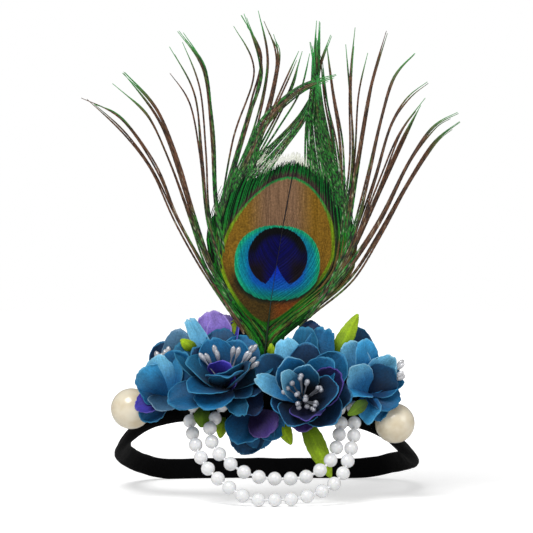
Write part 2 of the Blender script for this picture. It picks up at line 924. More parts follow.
@dataclass
class Flower:
    """A paper flower: its heart, the way it looks, its petals and its bunch of stamens."""

    name: str
    solid: str
    heart: Point
    looks: Point
    petals: tuple[Petal, ...]
    stamens: tuple[Stamen, ...] = ()
    bulb_tint: Colour = dye(225, 225, 228)
    bulb_radius: float = 0.9
    bulb_length: float = 4.0
    bulbs_each: int = 2
    columns: int = 16
    rows: int = 18
    rag: float = 0.35
    thickness: float = 0.32
    flat_pull: float = 0.34
    point_pull: float = 0.9
    stalk_radius: float = 0.22

    def __post_init__(self) -> None:
        """Works out the directions that turns are counted from and towards."""
        self.axis = Vector(self.looks).normalized()
        self.up = (Vector((0, 0, 1)) - self.axis * self.axis.z).normalized()
        self.right = self.up.cross(self.axis)

    def petal_width(self, share: float) -> float:
        """Share of a petal's width at a share of its length: a narrow foot and a round upper half.

        Args:
            share: The place along the petal: 0 is its foot.

        Returns:
            The share of its width.
        """
        foot, widest, full = 0.36, 0.6, 1.12
        if share < widest:
            return foot + (full - foot) * math.sin(share / widest * math.pi / 2)
        return full * math.sqrt(1 - (0.8 * (share - widest) / (1 - widest)) ** 2)

    def petal_surface(self, petal: Petal, dice: random.Random) -> Surface:
        """The bent, cupped and rippled surface of one petal.

        Args:
            petal: The petal.
            dice: The source of its own small ripples.

        Returns:
            A function of u, from -1 to 1 across, and v, from 0 at the heart to 1 at the tip.
        """
        turn, opening = math.radians(petal.turn), math.radians(petal.opening)
        out = self.up * math.cos(turn) + self.right * math.sin(turn)
        chord = self.axis * math.cos(opening) + out * math.sin(opening)
        twist = Quaternion(chord, math.radians(petal.twist))
        face = twist @ (self.axis * math.sin(opening) - out * math.cos(opening))
        across = twist @ self.axis.cross(out)
        bend = math.radians(petal.bend if abs(petal.bend) > 1 else 1)
        start = -bend / 2
        waves = [(dice.uniform(0.15, 0.4), dice.uniform(2, 5), dice.uniform(0, 6)) for _ in range(3)]
        phase_of_rag = dice.uniform(0, 90)
        roll = dice.uniform(-0.4, 1.0)
        notch = dice.uniform(-0.02, 0.05)
        pointed = self.flat_pull + self.point_pull * max(petal.point - Petal.point, 0.0)
        pull = pointed * petal.width / 2 / petal.length

        def surface(u: float, v: float) -> Vector:
            """The place of a point of the petal.

            Args:
                u: Across, from -1 to 1.
                v: Along, from 0 at the heart to 1.

            Returns:
                The place in millimetres.
            """
            half = petal.width / 2 * self.petal_width(v)
            share = v - pull * u * u * v**3 - notch * math.exp(-((u / 0.22) ** 2)) * v**8
            here = start + bend * share
            along = (math.sin(here) - math.sin(start)) / bend * petal.length
            away = (math.cos(here) - math.cos(start)) / bend * petal.length
            inner = face * math.cos(here) + chord * math.sin(here)
            ripple = sum(size * math.sin(count * u + phase + 3 * v) for size, count, phase in waves)
            torn = noise.noise(Vector((u * 7 + phase_of_rag, v * 9, 0.0))) * self.rag
            lift = petal.cup * half * u * u + ripple * v * v - roll * v**6
            middle = Vector(self.heart) + chord * (along + torn * v**4) + face * away + inner * lift
            return middle + across * (half * u + torn * u * abs(u))

        return surface

    def build_petals(self, finish: bpy.types.Material, keepouts: Sequence[Keepout]) -> None:
        """Makes all petals as one piece of thin paper.

        Args:
            finish: The paper.
            keepouts: The balls that petals bend round.
        """
        dice = random.Random(self.name)
        sheets = Sheets(self.columns, self.rows)
        for petal in self.petals:
            surface = self.petal_surface(petal, dice)
            level = dice.uniform(0.88, 1.12)

            def place(u: float, v: float, surface: Surface = surface) -> Vector:
                """The place of a corner, moved out of the keepouts.

                Args:
                    u: Across, from 0 to 1.
                    v: Along, from 0 to 1.
                    surface: The petal's surface.

                Returns:
                    The place in metres.
                """
                spot = at(*surface(2 * u - 1, v))
                for keepout in keepouts:
                    spot = keepout.clear(spot)
                return spot

            def shade(u: float, v: float, tint: Tint = petal.tint, level: float = level) -> Colour:
                """The petal's dye there, at its own level."""
                return tuple(part * level for part in tint.shade(ease(v, 0.3, 1.0)))

            sheets.add(place, shade, petal.tint.rim)
        piece = add_piece(f"petals_{self.name}", sheets.bm, finish, (self.solid,))
        add_wall(piece, self.thickness)

    def build_stamens(self, finish: bpy.types.Material) -> None:
        """Makes the stamens, each a stalk that swells to a long bulb.

        Args:
            finish: The lacquer.
        """
        if not self.stamens:
            return
        dice = random.Random(self.name + "stamens")
        bm = bmesh.new()
        tint = bm.verts.layers.float_color.new("tint")
        heart = Vector(self.heart)
        swell = ((0.0, 0.3), (0.15, 0.55), (0.4, 0.9), (0.6, 1.0), (0.8, 0.88), (0.94, 0.5), (1.0, 0.15))
        for stamen in self.stamens:
            for _ in range(self.bulbs_each):
                turn = math.radians(stamen.turn + dice.uniform(-9, 9))
                opening = math.radians(stamen.opening + dice.uniform(-5, 5))
                out = self.up * math.cos(turn) + self.right * math.sin(turn)
                length = stamen.length * dice.uniform(0.84, 1.0)
                way = self.axis * math.cos(opening) + out * math.sin(opening)
                neck = length - self.bulb_length
                size = self.bulb_radius * dice.uniform(0.85, 1.05)
                points = [at(*(heart + way * reach)) for reach in (2.5, neck * 0.6)]
                points += [at(*(heart + way * (neck + self.bulb_length * share))) for share, _ in swell]
                radii = [self.stalk_radius * MM] * 2 + [size * share * MM for _, share in swell]
                level = dice.uniform(0.7, 1.05)
                for vert in add_tube(bm, points, radii, 10):
                    vert[tint] = (*(part * level for part in self.bulb_tint), 1.0)
        add_piece(f"stamen_bulbs_{self.name}", bm, finish, (f"stamens_{self.name}",))


@dataclass(frozen=True)
class Leaf:
    """A leaf from its foot to its tip, with its width, its forward arch and its dye."""

    foot: Point
    tip: Point
    width: float
    arch: float
    tint: Tint


@dataclass
class Leaves:
    """The green paper leaves between and under the flowers."""

    leaves: tuple[Leaf, ...]
    columns: int = 10
    rows: int = 22
    teeth: int = 7
    tooth_depth: float = 0.07
    crease: float = 0.28
    wave: float = 0.25
    vein: float = 0.25
    vein_width: float = 0.12
    thickness: float = 0.35

    def leaf_width(self, share: float) -> float:
        """Share of a leaf's width at a share of its length: widest at two fifths, then drawn to a point.

        Args:
            share: The place along the leaf: 0 is its foot.

        Returns:
            The share of its width.
        """
        foot, widest, point = 0.35, 0.4, 0.08
        if share < widest:
            return foot + (1 - foot) * math.sin(share / widest * math.pi / 2)
        return point + (1 - point) * math.cos((share - widest) / (1 - widest) * math.pi / 2) ** 0.8

    def build(self, finish: bpy.types.Material) -> None:
        """Makes all leaves as one piece with toothed edges and a crease.

        Args:
            finish: The paper.
        """
        sheets = Sheets(self.columns, self.rows)
        for leaf in self.leaves:
            sheets.add(
                lambda u, v, leaf=leaf: self.spot(leaf, 2 * u - 1, v),
                lambda u, v, leaf=leaf: self.shade(leaf, 2 * u - 1, v),
                leaf.tint.rim,
            )
        solids = [f"leaf_{i + 1}" for i in range(len(self.leaves))]
        add_wall(add_piece("paper_leaves", sheets.bm, finish, solids), self.thickness)

    def spot(self, leaf: Leaf, u: float, v: float) -> Vector:
        """The place of a corner of a leaf.

        Args:
            leaf: The leaf.
            u: Across, from -1 to 1.
            v: Along, from 0 to 1.

        Returns:
            The place in metres.
        """
        foot = Vector(leaf.foot)
        along = Vector(leaf.tip) - foot
        across = along.cross(Vector((0, 1, 0))).normalized()
        tooth = 1 - self.tooth_depth * ((v * self.teeth) % 1.0) * abs(u) ** 3
        half = leaf.width / 2 * self.leaf_width(v) * tooth
        crease = self.crease * half * (1 - abs(u))
        wave = self.wave * math.sin(9 * v + 2 * u) * v
        forward = Vector((0, -1, 0)) * (leaf.arch * math.sin(math.pi * v) + crease + wave)
        return at(*(foot + along * v + across * (half * u) + forward))

    def shade(self, leaf: Leaf, u: float, v: float) -> Colour:
        """The dye there, with a paler vein along the middle."""
        vein = 1 + self.vein * math.exp(-((u / self.vein_width) ** 2))
        return tuple(part * vein for part in leaf.tint.shade(ease(v, 0.0, 0.9)))


@dataclass(frozen=True)
class Station:
    """One place along the elastic loop: its centre, and how far its outer face leans back to look up."""

    x: float
    y: float
    z: float
    lean: float


@dataclass
class Loop:
    """The elastic loop in black velvet."""

    stations: tuple[Station, ...]
    width: float = 8.0
    thickness: float = 3.9
    rings: int = 200
    sides: int = 28
    squareness: float = 2.6
    crease_depth: float = 0.22
    seam_depth: float = 0.35
    seam_width: float = 0.09

    def centres(self) -> list[Vector]:
        """The loop's centres and leans at even steps.

        Returns:
            Each as (x, y, z, lean), with the loop's edge on the surface or above it.
        """
        through = [Vector((here.x, here.y, here.z, here.lean)) for here in self.stations]
        smooth = spline(through, 14, closed=True)
        lowest = self.width / 2
        grounded = [Vector((here.x, here.y, max(here.z, lowest), max(here.w, 0.0))) for here in smooth]
        return evenly(grounded, self.rings, closed=True)

    def build(self, finish: bpy.types.Material) -> None:
        """Makes the loop, soft-edged, with a seam along its inner face and slight creases.

        Args:
            finish: The velvet.
        """
        centres = self.centres()

        def place(i: int, j: int) -> Vector:
            """The place of one corner of the strip.

            Args:
                i: The ring.
                j: The side.

            Returns:
                The place in metres.
            """
            here = centres[i % self.rings]
            after, before = centres[(i + 1) % self.rings], centres[(i - 1) % self.rings]
            along = Vector((after.x - before.x, after.y - before.y, 0)).normalized()
            outward = Vector((-along.y, along.x, 0))
            lean = math.radians(here.w)
            wide = Vector((0, 0, 1)) * math.cos(lean) - outward * math.sin(lean)
            thick = outward * math.cos(lean) + Vector((0, 0, 1)) * math.sin(lean)
            angle = 2 * math.pi * j / self.sides
            cos, sin = math.cos(angle), math.sin(angle)
            across = math.copysign(abs(cos) ** (2 / self.squareness), cos) * self.width / 2
            through = math.copysign(abs(sin) ** (2 / self.squareness), sin) * self.thickness / 2
            spot = at(*here[:3]) + (wide * across + thick * through) * MM
            crease = noise.noise(spot * 140) * self.crease_depth
            seam = math.exp(-(((cos - 0.55) / self.seam_width) ** 2)) * self.seam_depth if sin > 0 else 0.0
            outwards = (wide * (across / self.width) + thick * (through / self.thickness)).normalized()
            moved = spot + outwards * ((crease - seam) * MM)
            moved.z = max(moved.z, 0.0)
            return moved

        bm = bmesh.new()
        corners = add_grid(bm, self.rings, self.sides, place)
        bmesh.ops.remove_doubles(bm, verts=[vert for vert, _, _ in corners], dist=1e-8)
        bmesh.ops.recalc_face_normals(bm, faces=bm.faces)
        add_piece("velvet_loop", bm, finish, ("band",))


@dataclass
class Swag:
    """A swag of small pearls on a thread."""

    name: str
    solid: str
    route: tuple[Point, ...]
    bead_radius: float = 2.45
    bead_sides: int = 24
    bead_rings: int = 16
    pitch: float = 5.65
    thread_radius: float = 0.5

    def centres(self) -> list[Vector]:
        """Spaces the pearls along the route.

        Returns:
            Their centres in millimetres.
        """
        fine = spline([Vector(point) for point in self.route], 24)
        length = sum((after - before).length for before, after in zip(fine, fine[1:]))
        return evenly(fine, round(length / self.pitch) + 1)

    def build(self, finish: bpy.types.Material) -> None:
        """Makes the pearls and the thread through them as one piece.

        Args:
            finish: The pearls' finish.
        """
        centres = self.centres()
        bm = bmesh.new()
        for i, centre in enumerate(centres):
            along = centres[min(i + 1, len(centres) - 1)] - centres[max(i - 1, 0)]
            turn = along.to_track_quat("Z", "Y").to_matrix().to_4x4()
            made = bmesh.ops.create_uvsphere(
                bm, u_segments=self.bead_sides, v_segments=self.bead_rings, radius=self.bead_radius * MM
            )["verts"]
            bmesh.ops.transform(bm, matrix=turn, verts=made)
            bmesh.ops.translate(bm, verts=made, vec=at(*centre))
        thread = [at(*point) for point in evenly(spline(centres, 8), 6 * len(centres))]
        add_tube(bm, thread, [self.thread_radius * MM] * len(thread), 8)
        add_piece(self.name, bm, finish, (self.solid,))


@dataclass
class EndPearl:
    """One of the two large pearls at the ends of the flowers, where its solid lies."""

    name: str
    solid: str
    margin: float = 0.2

    def keepout(self) -> Keepout:
        """The ball that petals keep out of, with a margin round the pearl."""
        low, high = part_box(self.solid)
        return Keepout((low + high) / 2, (high.z - low.z) / 2 + self.margin * MM)

    def build(self, finish: bpy.types.Material) -> None:
        """Makes the pearl as a smooth ball.

        Args:
            finish: The pearl's finish.
        """
        ball = self.keepout()
        bm = bmesh.new()
        bmesh.ops.create_icosphere(bm, subdivisions=5, radius=ball.radius - self.margin * MM)
        bmesh.ops.translate(bm, verts=bm.verts, vec=ball.centre)
        add_piece(self.name, bm, finish, (self.solid,))


@dataclass(frozen=True)
class Lock:
    """A lock of loose barbs: its path as (x, z) from its root, its width there, barbs and share of green."""

    path: tuple[tuple[float, float], ...]
    width: float
    barbs: int
    green: float


@dataclass
class Feather:
    """The peacock feather: quill, eye and loose barbs, in a plane that leans back from its foot."""

    eye: Eye
    outline: tuple[tuple[float, float, float], ...]
    quill: tuple[tuple[float, float], ...]
    locks: tuple[Lock, ...]
    foot_z: float = 45.0
    foot_y: float = -7.2
    lean: float = math.tan(math.radians(8.0))
    quill_step: float = 1.6
    quill_rings: int = 50
    barbs_a_side: int = 150
    barb_steps: int = 26
    barb_half_width: float = 0.17
    fluff: float = 0.12
    fluff_back: float = 0.3
    web_thickness: float = 0.3
    loose_steps: int = 90
    hidden: float = 9.0
    lock_depths: tuple[float, ...] = (-2.5, 1.5, -0.8, 3.0)

    def place(self, x: float, z: float, depth: float = 0.0) -> Vector:
        """A point of the feather's plane; depth is measured backwards from it."""
        return at(x, self.foot_y + (z - self.foot_z) * self.lean + depth, z)

    def quill_x(self, z: float) -> float:
        """Where the quill is at a height."""
        return table_value(self.quill, z, 1)

    def add_ribbon(
        self,
        bm: bmesh.types.BMesh,
        path: Sequence[Vector],
        half: Callable[[int], float],
        depth: Callable[[float], float],
        ridge: float,
        shade: Callable[[float, int], tuple],
        layer: object,
    ) -> None:
        """Adds one barb, a narrow ribbon with a ridge along its middle.

        Args:
            bm: The mesh that it is added to.
            path: Its centre line as (x, z) in the feather's plane.
            half: Its half width at a step.
            depth: How far back it lies at a share of its length.
            ridge: How far its middle stands forward.
            shade: The colour kept on it at a share of its length, for a row across.
            layer: The attribute that keeps the colour.
        """
        steps = len(path) - 1

        def spot(i: int, j: int) -> Vector:
            """The place of one corner, with the ridge in the middle row.

            Args:
                i: The corner's number along.
                j: Its number across.

            Returns:
                The place in metres.
            """
            here = path[i]
            along = (path[min(i + 1, steps)] - path[max(i - 1, 0)]).normalized()
            offset = (1 - j) * half(i)
            back = depth(i / steps) - (ridge if j == 1 else 0.0)
            return self.place(here.x + along.y * offset, here.y - along.x * offset, back)

        for vert, i, j in add_grid(bm, steps, 2, spot):
            vert[layer] = shade(i / steps, j)

    def build_quill(self, finish: bpy.types.Material) -> None:
        """Makes the quill, thick below and a fine dark ridge over the eye.

        Args:
            finish: The barbs' finish, which takes its colour from the mesh.
        """
        bm = bmesh.new()
        tint = bm.verts.layers.float_color.new("tint")
        heights = [self.quill[0][0] + self.quill_step * i for i in range(self.quill_rings)]
        points = [self.place(self.quill_x(z), z, -0.36) for z in heights]
        radii = [(0.4 - 0.3 * ease(z, 58, 76) + 0.14 * ease(z, 92, 104)) * MM for z in heights]
        for vert in add_tube(bm, points, radii, 8):
            height = vert.co.z / MM
            shade = blend(dye(6, 40, 12), dye(4, 52, 62), ease(height, 66, 74))
            vert[tint] = (*blend(shade, dye(6, 6, 12), ease(height, 76, 86)), 1.0)
        add_piece("feather_quill", bm, finish)

    def barb_path(self, side: int, share: float, dice: random.Random, extra: float = 0.0) -> list[Vector]:
        """The centre line of one close barb of the eye.

        Args:
            side: -1 for the left, 1 for the right.
            share: 0 next to the quill, 1 at the margin.
            dice: The source of its own length.
            extra: How much further out than its neighbours it ends, as a share of the eye's size.

        Returns:
            Points as (x, z).
        """
        column = 1 if side < 0 else 2
        start = 112.0 - 62.0 * share**0.72
        limit = 1.2 + extra + 0.24 * ease(share, 0.45, 0.8) + dice.uniform(-0.03, 0.04)
        path = []
        for step in range(300):
            z = start + 0.4 * step
            half = abs(table_value(self.outline, min(z, 126.0), column) - self.quill_x(z))
            grow = 1 - math.exp(-(z - start) / (4.5 + 5.0 * share))
            x = self.quill_x(z) + side * share * half * grow
            path.append(Vector((x, z)))
            if z > 95.0 and self.eye.reach(x, z) > limit:
                break
        return evenly(path, self.barb_steps)

    def build_eye(self, finish: bpy.types.Material) -> None:
        """Makes the eye of close barbs over a thin dark ground.

        Args:
            finish: The eye's finish.
        """
        dice = random.Random(7)
        bm = bmesh.new()
        barb = bm.verts.layers.float_color.new("barb")
        for side in (-1, 1):
            for i in range(self.barbs_a_side):
                share = (i + 0.5) / self.barbs_a_side
                fluffy = i % 3 == 0
                path = self.barb_path(side, share, dice, self.fluff if fluffy else 0.0)
                own, back = dice.random(), dice.uniform(-0.12, 0.12) + (self.fluff_back if fluffy else 0.0)
                self.add_ribbon(
                    bm,
                    path,
                    lambda step: self.barb_half_width * (1.15 - 0.85 * (step / self.barb_steps) ** 6),
                    lambda t: -0.3 + 0.6 * share * share + back,
                    0.1,
                    lambda t, j, own=own: (own, t, j / 2, 1.0),
                    barb,
                )
        add_piece("feather_eye", bm, finish, ("feather",))
        self.build_ground(finish)

    def build_ground(self, finish: bpy.types.Material) -> None:
        """Makes the thin web of barbules behind the close barbs.

        Args:
            finish: The eye's finish.
        """
        bm = bmesh.new()
        barb = bm.verts.layers.float_color.new("barb")
        columns, rows = 16, 40
        low, high = 52.0, 118.5

        def spot(i: int, j: int) -> Vector:
            """The place of one corner, drawn in to the eye's own outline.

            Args:
                i: The corner's number along.
                j: Its number across.

            Returns:
                The place in metres.
            """
            z = low + (high - low) * i / rows
            u = 1 - 2 * j / columns
            side = 2 if u > 0 else 1
            middle = self.quill_x(z)
            half = abs(table_value(self.outline, z, side) - middle) * 0.94
            limit = 1.28 - 0.14 * ease(z, 104.0, 114.0)
            while z > 90 and half > 0.5 and self.eye.reach(middle + math.copysign(half, u), z) > limit:
                half -= 0.25
            return self.place(middle + u * half, z, 0.25 + 0.6 * u * u)

        for vert, i, j in add_grid(bm, rows, columns, spot):
            vert[barb] = (j / columns, i / rows, 0.5, 1.0)
        add_wall(add_piece("feather_web", bm, finish), self.web_thickness)

    def build_loose_barbs(self, finish: bpy.types.Material) -> None:
        """Makes the loose barbs, each with a saw edge of barbules.

        Args:
            finish: The barbs' finish, which takes its colour from the mesh.
        """
        dice = random.Random(11)
        bm = bmesh.new()
        tint = bm.verts.layers.float_color.new("tint")
        for number, lock in enumerate(self.locks):
            depth = self.lock_depths[number % len(self.lock_depths)]
            for i in range(lock.barbs):
                share = 0.5 if lock.barbs == 1 else i / (lock.barbs - 1)
                self.add_loose_barb(bm, lock, share, depth, dice, tint)
        add_piece("feather_loose_barbs", bm, finish)

    def loose_path(self, lock: Lock, share: float, dice: random.Random) -> tuple[list[Vector], float]:
        """The centre line of one loose barb, with the straight run that the eye hides.

        Args:
            lock: The lock that it belongs to.
            share: Its place across the lock, from 0 to 1.
            dice: The source of its own spread.

        Returns:
            Points as (x, z), and the share of its length that lies close to the eye.
        """
        middle = [Vector(spot) for spot in lock.path]
        last = len(middle) - 1
        cut = 0.0 if share in (0.0, 0.5) else dice.uniform(0.0, 0.4)
        held = []
        for k, spot in enumerate(middle):
            along = (middle[min(k + 1, last)] - middle[max(k - 1, 0)]).normalized()
            apart = (share - 0.5) * lock.width * (1 - 0.75 * k / last) + dice.uniform(-0.3, 0.3) * min(k, 1)
            held.append(spot + Vector((along.y, -along.x)) * apart)
        held[-1] = held[-1].lerp(held[-2], cut)
        back = (held[0] - held[1]).normalized() * (self.hidden / 3)
        lead = [held[0] + back * k for k in (3, 2, 1)]
        through = [*lead, *spline(held, 4)]
        return evenly(spline(through, 8), self.loose_steps + 1), len(lead) / len(through) * 0.6

    def add_loose_barb(
        self,
        bm: bmesh.types.BMesh,
        lock: Lock,
        share: float,
        depth: float,
        dice: random.Random,
        layer: object,
    ) -> None:
        """Adds one loose barb of a lock.

        Args:
            bm: The mesh that it is added to.
            lock: The lock that it belongs to.
            share: Its place across the lock, from 0 to 1.
            depth: How far back the lock's tip lies.
            dice: The source of its own spread and dye.
            layer: The attribute that keeps its dye.
        """
        path, free = self.loose_path(lock, share, dice)
        own, wave = dice.random(), dice.uniform(0, 50)
        twist = dice.uniform(-0.3, 0.3)
        green, dark, brown, light = dye(30, 122, 32), dye(18, 12, 5), dye(104, 68, 44), dye(60, 176, 84)

        def half(step: int) -> float:
            """Its half width: a saw edge and a thin tip.

            Args:
                step: The place along the barb.

            Returns:
                The half width in millimetres.
            """
            t = step / self.loose_steps
            full = (0.32 + 0.1 * (1 - t)) * (1.0 if step % 2 else 0.9)
            return full * (1 - 0.62 * ease(t, 0.85, 1.0))

        def back(t: float) -> float:
            """How far back it lies at a share of its length."""
            return 0.8 * (1 - ease(t, 0.0, free)) + depth * ease(t, free, 1.0) + twist

        def shade(t: float, j: int) -> tuple:
            """Its dye: brown or green, with dark and pale flecks and a light tip.

            Args:
                t: The share of its length.
                j: The row across.

            Returns:
                The colour.
            """
            fleck = noise.noise(Vector((t * 55 + wave, own * 30, j * 1.3))) * 0.5 + 0.5
            patch = noise.noise(Vector((t * 7 + wave, own * 9, 3.0))) * 0.5 + 0.5
            colour = blend(brown, dark, ease(fleck, 0.44, 0.6) * 0.9)
            leafy = lock.green + 0.55 * (1 - ease(t, 0.1, 0.6)) - 0.25 + 0.5 * (own - 0.5)
            leaf = blend(green, dye(3, 20, 5), ease(fleck, 0.42, 0.56))
            colour = blend(colour, leaf, ease(leafy + 0.8 * (patch - 0.5), 0.25, 0.65))
            colour = blend(colour, light, 0.8 * ease(t, 0.82, 1.0) * ease(own + lock.green, 0.4, 0.9))
            pale = (1 - ease(fleck, 0.2, 0.3)) * (1 - ease(t, 0.4, 0.8)) * 0.5
            return (*blend(colour, dye(206, 206, 178), pale), 1.0)

        self.add_ribbon(bm, path, half, back, 0.18, shade, layer)


@dataclass
class Studio:
    """The camera, the pale floor and the soft lights."""

    picture_side: float = 533.0
    focal_pixels: float = 2500.0
    sensor: float = 36.0
    camera_place: Point = (-1.44, -900.0, 77.6)
    camera_target: Point = (-1.44, 0.0, 83.9)
    room_light: float = 0.3
    floor_glow: float = 0.45
    floor_half: float = 6.0

    def aim(self, thing: bpy.types.Object, place: Vector, target: Vector) -> None:
        """Puts a camera or light at a place, looking at its target."""
        thing.location = place
        thing.rotation_euler = (target - place).to_track_quat("-Z", "Y").to_euler()

    def build_camera(self) -> None:
        """Sets the camera where the photograph was taken from."""
        data = bpy.data.cameras.new("camera")
        data.sensor_width = self.sensor
        data.lens = self.focal_pixels / self.picture_side * self.sensor
        camera = show("camera", data)
        self.aim(camera, at(*self.camera_place), at(*self.camera_target))
        bpy.context.scene.camera = camera

    def build_floor(self) -> None:
        """Lays a wide white floor, which glows further away so that no horizon shows."""
        bm = bmesh.new()
        bmesh.ops.create_grid(bm, x_segments=1, y_segments=1, size=self.floor_half)
        mesh = bpy.data.meshes.new("floor")
        bm.to_mesh(mesh)
        bm.free()
        paint = bpy.data.materials.new("floor")
        paint.use_nodes = True
        graph = Graph(paint.node_tree)
        seen = graph.add("ShaderNodeLightPath", None, "Is Camera Ray")
        place = graph.coordinates("Object")
        away = graph.add("ShaderNodeVectorMath", {0: place}, "Value", operation="LENGTH")
        values = {
            "Base Color": (0.9, 0.9, 0.9),
            "Roughness": 0.8,
            "Specular IOR Level": 0.0,
            "Emission Color": (1.0, 1.0, 1.0),
            "Emission Strength": seen * (away.rise(0.12, 0.45) * (1.0 - self.floor_glow) + self.floor_glow),
        }
        for name, value in values.items():
            graph.feed(paint.node_tree.nodes["Principled BSDF"].inputs[name], value)
        mesh.materials.append(paint)
        floor = show("floor", mesh)

    def add_light(self, name: str, place: Point, size: float, power: float) -> None:
        """Adds one soft light that looks at the flowers, with its place in metres.

        Args:
            name: The light's name.
            place: Its place.
            size: Its width in metres.
            power: Its power in watts.
        """
        data = bpy.data.lights.new(name, "AREA")
        data.shape = "DISK"
        data.size = size
        data.energy = power
        self.aim(show(name, data), Vector(place), Vector((0.0, 0.0, 0.06)))

    def build_light(self) -> None:
        """Lights the scene from above and in front, in a white room."""
        world = bpy.data.worlds.new("room")
        world.use_nodes = True
        room = world.node_tree.nodes["Background"].inputs
        graph = Graph(world.node_tree)
        seen = graph.add("ShaderNodeLightPath", None, "Is Camera Ray")
        graph.feed(room["Color"], (1.0, 1.0, 1.0))
        graph.feed(room["Strength"], seen * (1.0 - self.room_light) + self.room_light)
        bpy.context.scene.world = world
        self.add_light("key", (-0.35, -0.75, 1.0), 0.7, 10.0)
        self.add_light("fill", (0.9, -0.7, 0.5), 0.6, 2.0)
        bpy.context.scene.view_settings.view_transform = "Standard"


T = Tint
LEFT_CENTRE = Flower(
    "left_centre", "flower_left_centre", (-16, -10, 40.5), (-0.05, -0.62, 0.78),
    petals=(
        Petal(20, 48, 18, 13, -20, 0.30, T.OCEAN),
        Petal(334, 43, 19, 12, -20, 0.30, T.OCEAN),
        Petal(26, 58, 21, 13, -10, 0.20, T.OCEAN, 20),
        Petal(352, 54, 22.5, 12, -10, 0.20, T.DEEP),
        Petal(302, 48, 18.5, 10, -20, 0.35, T.HOLLOW),
        Petal(271, 44, 18.5, 12, -25, 0.35, T.TEAL),
        Petal(299, 57, 23.5, 12.5, -20, 0.25, T.TEAL),
        Petal(146, 22, 14.5, 12.5, -15, 0.35, T.TEAL),
        Petal(171, 34, 18, 12.5, 35, 0.15, T.OCEAN),
        Petal(106, 37, 16.5, 10, -30, 0.35, T.DEEP),
        Petal(70, 68, 19.5, 11.5, 0, 0.15, T.TEAL),
        Petal(240, 86, 22.5, 13.5, 20, 0.15, T.OCEAN),
        Petal(219, 62, 19.5, 12, 30, 0.20, T.OCEAN),
        Petal(199, 76, 18, 12.5, 25, 0.15, T.OCEAN),
        Petal(154, 91, 16.5, 7, 10, 0.25, T.TEAL, point=0.6),
        Petal(120, 106, 15.5, 12, 0, 0.20, T.NAVY),
        Petal(97, 82, 15.5, 11, 0, 0.20, T.HOLLOW),
        Petal(129, 73, 12.5, 10, -20, 0.30, T.DEEP),
        Petal(324, 56, 29, 6, -10, 0.30, T.SKY),
        Petal(11, 63, 26.5, 9, -10, 0.25, T.BRUISE),
        Petal(37, 5, 12, 12, 0, 0.30, T.VIOLET),
    ),
    stamens=(
        Stamen(305, 35, 16.5), Stamen(335, 30, 17), Stamen(30, 30, 16.5),
        Stamen(60, 42, 18.5), Stamen(50, 52, 20), Stamen(75, 52, 19),
    ),
    bulb_tint=dye(196, 198, 206),
    bulb_radius=0.95,
    bulb_length=4.4,
)
RIGHT_CENTRE = Flower(
    "right_centre", "flower_right_centre", (11.5, -9, 36), (0, -0.92, 0.38),
    petals=(
        Petal(342, 71, 23.5, 10, -5, 0.15, T.SKY),
        Petal(2, 76, 27, 9.5, -15, 0.25, T.TEAL, -12),
        Petal(6, 81, 29.5, 10, 0, 0.15, T.NAVY),
        Petal(18, 77, 28, 10, -10, 0.25, T.OCEAN),
        Petal(5, 68, 21, 11, -15, 0.25, T.HOLLOW),
        Petal(329, 40, 20, 11, -45, 0.20, T.BRIGHT),
        Petal(47, 64, 22.5, 12.5, -20, 0.25, T.OCEAN),
        Petal(40, 50, 19, 11, -15, 0.25, T.OCEAN),
        Petal(5, 28, 17.5, 9.5, -50, 0.25, T.BRIGHT),
        Petal(307, 60, 23, 11.5, -10, 0.20, T.DEEP, -14),
        Petal(283, 53, 22.5, 6.5, -10, 0.25, T.SKY, point=0.9),
        Petal(300, 27, 19, 7.5, -15, 0.25, T.SKY, point=0.6),
        Petal(97, 38, 20, 12, -40, 0.40, T.HOLLOW),
        Petal(75, 48, 20.5, 12.5, -35, 0.35, T.BRUISE),
        Petal(90, 69, 18.5, 13, -35, 0.30, T.HOLLOW),
        Petal(167, 40, 18.5, 11.5, -40, 0.35, T.BRUISE),
        Petal(198, 54, 15.5, 13, -30, 0.30, T.HOLLOW),
        Petal(179, 74, 13, 12.5, -20, 0.25, T.PLUM),
        Petal(128, 61, 18.5, 13, -35, 0.30, T.HOLLOW),
        Petal(247, 62, 14, 11.5, -25, 0.30, T.HOLLOW),
    ),
    stamens=(
        Stamen(275, 32, 13.5), Stamen(300, 20, 14.5), Stamen(350, 20, 14), Stamen(225, 15, 15),
        Stamen(165, 18, 15.5), Stamen(140, 28, 15), Stamen(30, 8, 15.5), Stamen(90, 26, 15),
        Stamen(160, 36, 14.5), Stamen(200, 30, 14.5),
    ),
    bulb_tint=dye(184, 186, 194),
    bulb_radius=0.95,
    bulb_length=2.4,
    bulbs_each=3,
)
